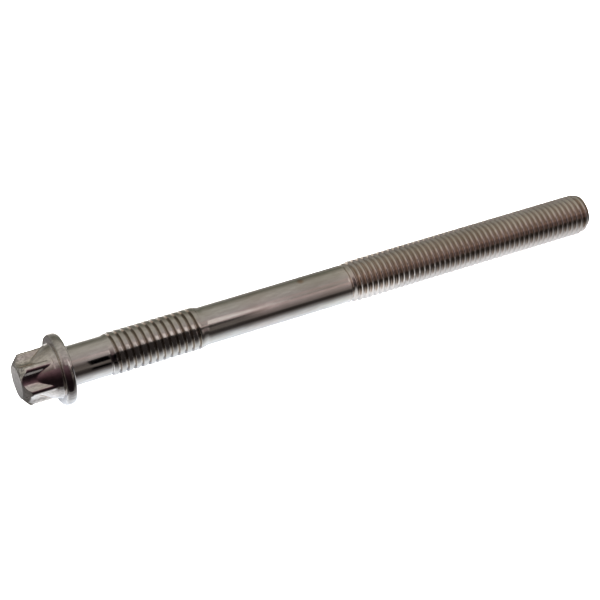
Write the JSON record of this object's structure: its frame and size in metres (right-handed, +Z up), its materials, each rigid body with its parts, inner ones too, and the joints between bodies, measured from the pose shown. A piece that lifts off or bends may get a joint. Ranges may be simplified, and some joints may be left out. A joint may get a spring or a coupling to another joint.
{
  "type": "cylinder head bolt",
  "caption": "Long flanged cylinder head bolt with an external six-lobe drive, a coarse thread near the head, a reduced shank and a long fine thread at the tip",
  "frame": {"origin": "on the surface the bolt lies on, below the centre of its bounding box", "axes": "+X runs along the bolt from the head to the tip, +Z is up; the bolt's axis dips to the tip by the angle at which it rests on its flange and its last crest"},
  "size_m": [0.2106, 0.0234, 0.0234],
  "materials": {
    "steel": "oiled bare steel, forged head, rolled threads"
  },
  "bodies": {
    "root": {"bolt": "steel"}
  },
  "joints": []
}
